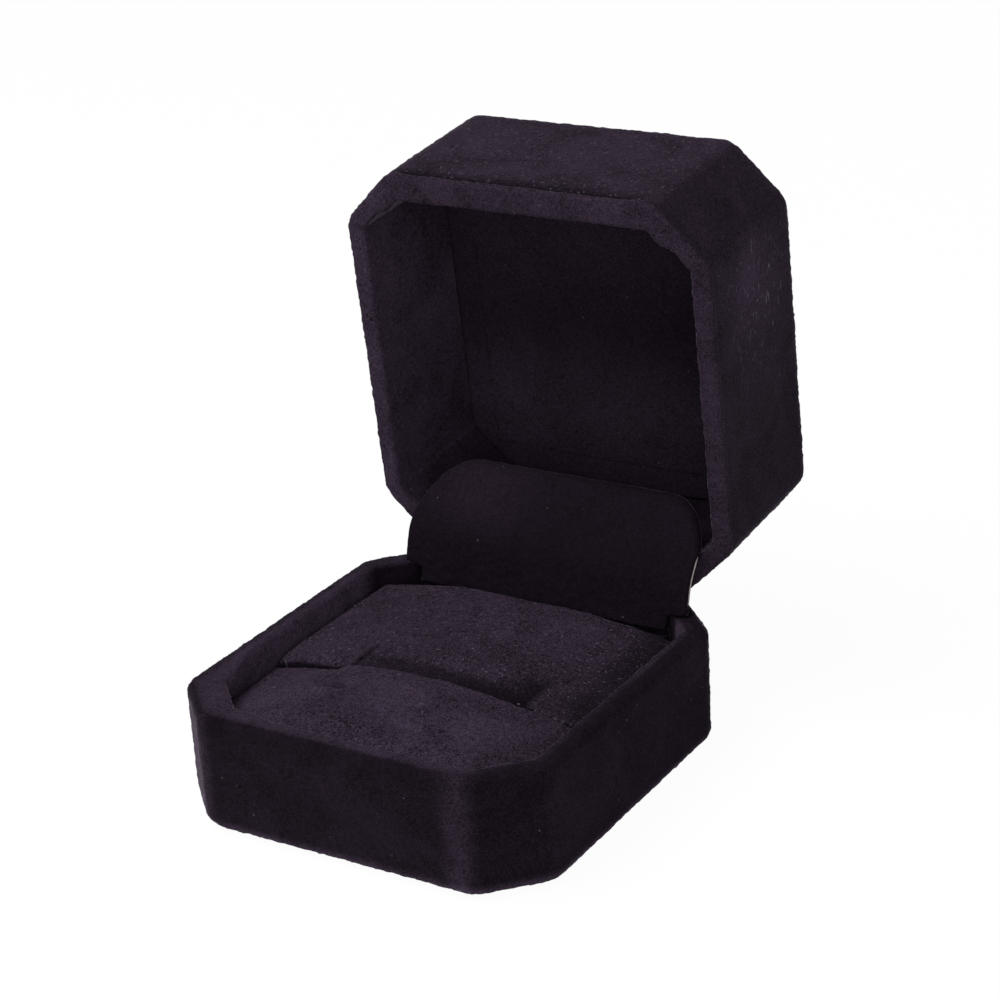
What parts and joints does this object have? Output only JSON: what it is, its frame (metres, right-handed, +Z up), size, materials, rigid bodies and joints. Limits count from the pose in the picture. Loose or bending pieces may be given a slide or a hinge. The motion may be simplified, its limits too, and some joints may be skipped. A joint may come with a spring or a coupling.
{
  "type": "ring box",
  "caption": "Small eight-sided velvet ring box with a hinged lid, a slotted foam ring pad and a flap over the hinge; holds and shows a finger ring.",
  "frame": {"origin": "on the floor under the middle of the base", "axes": "+X to the box's right seen from the front, +Y to the rear towards the hinge, +Z up; lid open as pictured"},
  "size_m": [0.056, 0.0814, 0.0769],
  "materials": {
    "velvet": "short pile velvet, near-black aubergine",
    "pad_velvet": "short pile velvet, near-black aubergine",
    "shell_plastic": "moulded, matt",
    "card": "pale greyboard, raw edge",
    "felt": "dense felt",
    "foam": "open-cell foam",
    "hinge_steel": "zinc-plated steel"
  },
  "bodies": {
    "base": {"base_shell": "shell_plastic", "base_velvet": "velvet", "foot_board": "card", "foot_felt": "felt", "insert_board": "card", "front_foam": "foam", "front_velvet": "pad_velvet", "rear_foam": "foam", "rear_velvet": "pad_velvet", "flap_anchor": "card", "hinge_leaf_base": "hinge_steel", "hinge_pin": "hinge_steel", "hinge_rivets_base": "hinge_steel", "hinge_spring": "hinge_steel"},
    "lid": {"lid_shell": "shell_plastic", "lid_velvet": "velvet", "lid_lining_board": "card", "lid_lining_velvet": "velvet", "hinge_leaf_lid": "hinge_steel", "hinge_rivets_lid": "hinge_steel"},
    "flap": {"flap_card": "card", "flap_velvet": "velvet"}
  },
  "joints": [
    {"name": "lid_hinge", "type": "hinge", "parent": "base", "child": "lid", "pos_m": [0, 0.0285, 0.0177], "axis": [1, 0, 0], "range_deg": [0, 84.5], "deforming": ["hinge_spring"]},
    {"name": "flap_tilt", "type": "hinge", "parent": "base", "child": "flap", "pos_m": [0, 0.022, 0.0148], "axis": [1, 0, 0], "range_deg": [0, 43.94]}
  ],
  "couplings": [
    {"joint": "flap_tilt", "follows": "lid_hinge", "ratio": 0.52}
  ]
}
